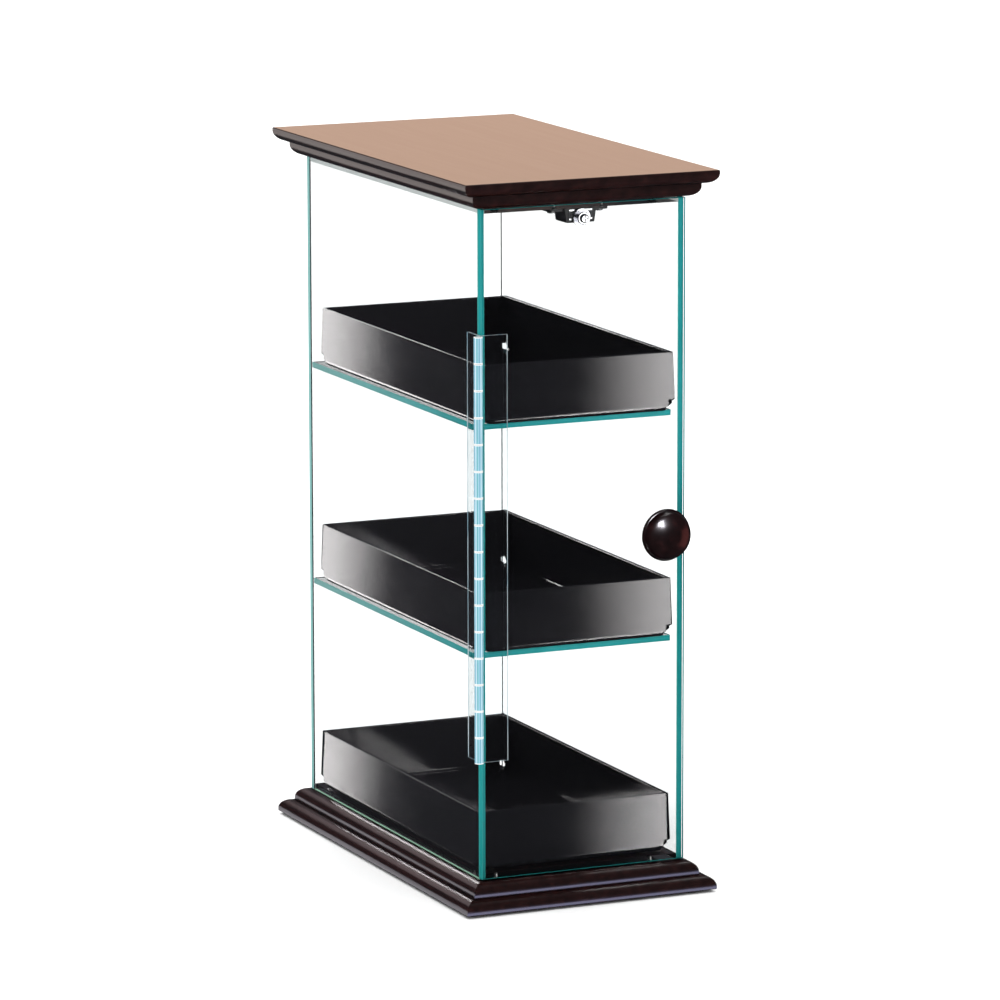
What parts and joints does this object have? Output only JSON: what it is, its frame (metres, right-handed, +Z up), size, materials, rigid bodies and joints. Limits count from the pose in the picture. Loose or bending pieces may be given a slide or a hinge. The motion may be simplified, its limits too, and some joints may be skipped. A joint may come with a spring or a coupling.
{
  "type": "bakery display case",
  "caption": "Tall clear display case with a moulded wooden base and top, shelves with folded black trays, and a side-hinged clear door with a round knob and a magnetic catch.",
  "frame": {"origin": "centre of the wooden base's footprint, on the plane that the rubber feet stand on", "axes": "+Z up; the door faces -Y; +X to the right seen from the front, so the hinge is on the -X side"},
  "size_m": [0.2, 0.371, 0.534],
  "materials": {
    "wood": "espresso stain under satin lacquer",
    "clear_acrylic": "polished clear sheet with green-blue edges",
    "hinge_acrylic": "clear moulded acrylic",
    "black_acrylic": "high gloss",
    "black_plastic": "fine moulded texture",
    "rubber": "matt",
    "bright_steel": "bright plated",
    "zinc_steel": "zinc plated",
    "brass": "machined",
    "magnet": "sintered, matt"
  },
  "bodies": {
    "case": {"rubber_feet": "rubber", "base_board": "wood", "top_board": "wood", "floor_panel": "clear_acrylic", "ceiling_panel": "clear_acrylic", "left_side_panel": "clear_acrylic", "right_side_panel": "clear_acrylic", "back_panel": "clear_acrylic", "lower_shelf": "clear_acrylic", "upper_shelf": "clear_acrylic", "floor_screws": "zinc_steel", "ceiling_screws": "zinc_steel", "hinge_case_leaf": "hinge_acrylic", "hinge_pin": "hinge_acrylic", "catch_housing": "black_plastic", "catch_magnet": "magnet", "catch_pole_plates": "bright_steel", "catch_screws": "zinc_steel"},
    "door": {"door_panel": "clear_acrylic", "hinge_door_leaf": "hinge_acrylic", "door_knob": "wood", "knob_insert": "brass", "knob_washer": "zinc_steel", "knob_screw": "zinc_steel", "strike_disc": "bright_steel", "strike_washer": "bright_steel", "strike_screw": "bright_steel"},
    "upper_tray": {"upper_tray": "black_acrylic"},
    "middle_tray": {"middle_tray": "black_acrylic"},
    "lower_tray": {"lower_tray": "black_acrylic"}
  },
  "joints": [
    {"name": "door_hinge", "type": "hinge", "parent": "case", "child": "door", "pos_m": [-0.0833, -0.1663, 0.2665], "axis": [0, 0, -1], "range_deg": [0, 255]},
    {"name": "upper_tray_slide", "type": "slide", "parent": "case", "child": "upper_tray", "axis": [0, -1, 0], "range_m": [-0.014, 0.002]},
    {"name": "middle_tray_slide", "type": "slide", "parent": "case", "child": "middle_tray", "axis": [0, -1, 0], "range_m": [-0.011, 0.005]},
    {"name": "lower_tray_slide", "type": "slide", "parent": "case", "child": "lower_tray", "axis": [0, -1, 0], "range_m": [-0.008, 0.008]}
  ]
}
